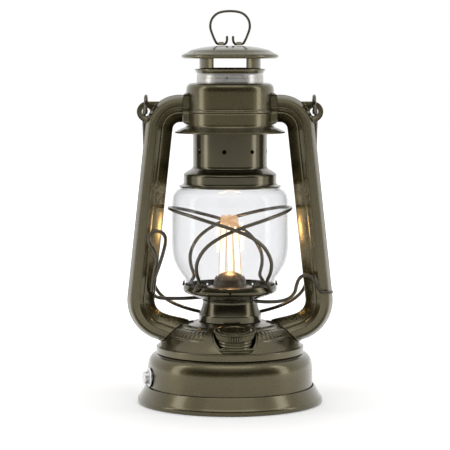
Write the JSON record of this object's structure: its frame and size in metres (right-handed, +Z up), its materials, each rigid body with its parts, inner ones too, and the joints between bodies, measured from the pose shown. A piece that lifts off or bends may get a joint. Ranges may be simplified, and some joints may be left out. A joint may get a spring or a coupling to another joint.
{
  "type": "electric storm lantern",
  "caption": "Storm lantern in oil-lamp form with filament lights, a lifting globe and chimney, side tubes, a screw cap, a push button, a top ring and a carrying handle.",
  "frame": {"origin": "centre of the foot, on the surface that the lantern stands on", "axes": "+Z up the lantern, +X towards the right side tube, the filler cap at the front faces -Y"},
  "size_m": [0.1502, 0.1352, 0.2856],
  "materials": {
    "olive_paint": "satin metallic",
    "olive_wire": "satin metallic",
    "zinc_sheet": "bright zinc",
    "silver_plate": "satin",
    "clear_glass": "clear",
    "lit_filament": "clear tube with a warm lit core",
    "black_plastic": "matte",
    "green_board": "lacquered",
    "cell_sleeve": "shrunk sleeve",
    "black_rubber": "matte",
    "bright_steel": "bright"
  },
  "bodies": {
    "lantern_body": {"base_plate": "olive_paint", "base_screw_1": "bright_steel", "base_screw_2": "bright_steel", "base_screw_3": "bright_steel", "base_screw_4": "bright_steel", "battery_cell_left": "cell_sleeve", "battery_cell_right": "cell_sleeve", "battery_cradle": "black_plastic", "burner_cone": "olive_paint", "burner_neck": "olive_paint", "button_bezel": "silver_plate", "button_spring": "bright_steel", "charge_socket": "black_plastic", "chimney_spring": "bright_steel", "circuit_board": "green_board", "filament_holder": "black_plastic", "filler_neck": "olive_paint", "filler_well": "olive_paint", "hood": "olive_paint", "led_filament_back": "lit_filament", "led_filament_left": "lit_filament", "led_filament_right": "lit_filament", "led_lead": "black_plastic", "push_switch": "black_plastic", "side_tube_left": "olive_paint", "side_tube_right": "olive_paint", "tank_dome": "olive_paint", "tank_drum": "olive_paint"},
    "globe_carrier": {"globe_plate": "olive_paint", "globe": "clear_glass", "guard_wire_a": "olive_wire", "guard_wire_b": "olive_wire", "guide_wire": "olive_wire"},
    "chimney": {"chimney_tube": "olive_paint", "draught_tube": "zinc_sheet", "cap_collar": "olive_paint", "top_cap": "olive_paint", "ring_clip_left": "olive_paint", "ring_clip_right": "olive_paint"},
    "hanging_ring": {"cap_ring": "olive_wire"},
    "lever": {"lift_lever": "olive_wire"},
    "handle": {"bail_handle": "olive_wire"},
    "filler_seal": {"cap_seal": "black_rubber"},
    "filler_lid": {"filler_cap": "olive_paint"},
    "button": {"power_button": "silver_plate"}
  },
  "joints": [
    {"name": "globe_lift", "type": "slide", "parent": "lantern_body", "child": "globe_carrier", "axis": [0, 0, 1], "range_m": [0, 0.008], "deforming": ["chimney_spring"]},
    {"name": "chimney_lift", "type": "slide", "parent": "globe_carrier", "child": "chimney", "axis": [0, 0, 1], "range_m": [0, 0.012], "stiffness_N_per_m": 120, "springref_m": -0.012, "deforming": ["chimney_spring"]},
    {"name": "ring_swing", "type": "hinge", "parent": "chimney", "child": "hanging_ring", "pos_m": [0, 0, 0.2611], "axis": [1, 0, 0], "range_deg": [-85, 85]},
    {"name": "lever_turn", "type": "hinge", "parent": "lantern_body", "child": "lever", "pos_m": [-0.0572, 0, 0.081], "axis": [0, -1, 0], "range_deg": [0, 12]},
    {"name": "bail_swing", "type": "hinge", "parent": "lantern_body", "child": "handle", "pos_m": [0, 0, 0.21725], "axis": [1, 0, 0], "range_deg": [0, 270]},
    {"name": "cap_rise", "type": "slide", "parent": "lantern_body", "child": "filler_seal", "axis": [0, -0.1392, 0.9903], "range_m": [0, 0.0061]},
    {"name": "cap_turn", "type": "hinge", "parent": "filler_seal", "child": "filler_lid", "pos_m": [0.0034, -0.0383, 0.0426], "axis": [0, -0.1392, 0.9903], "range_deg": [0, 1080]},
    {"name": "button_press", "type": "slide", "parent": "lantern_body", "child": "button", "axis": [0.9613, 0.2756, 0], "range_m": [0, 0.0015], "stiffness_N_per_m": 500, "springref_m": -0.001}
  ],
  "couplings": [
    {"joint": "lever_turn", "follows": "globe_lift", "rad_per_m": 25.7},
    {"joint": "cap_rise", "follows": "cap_turn", "m_per_rad": 0.00031831}
  ]
}
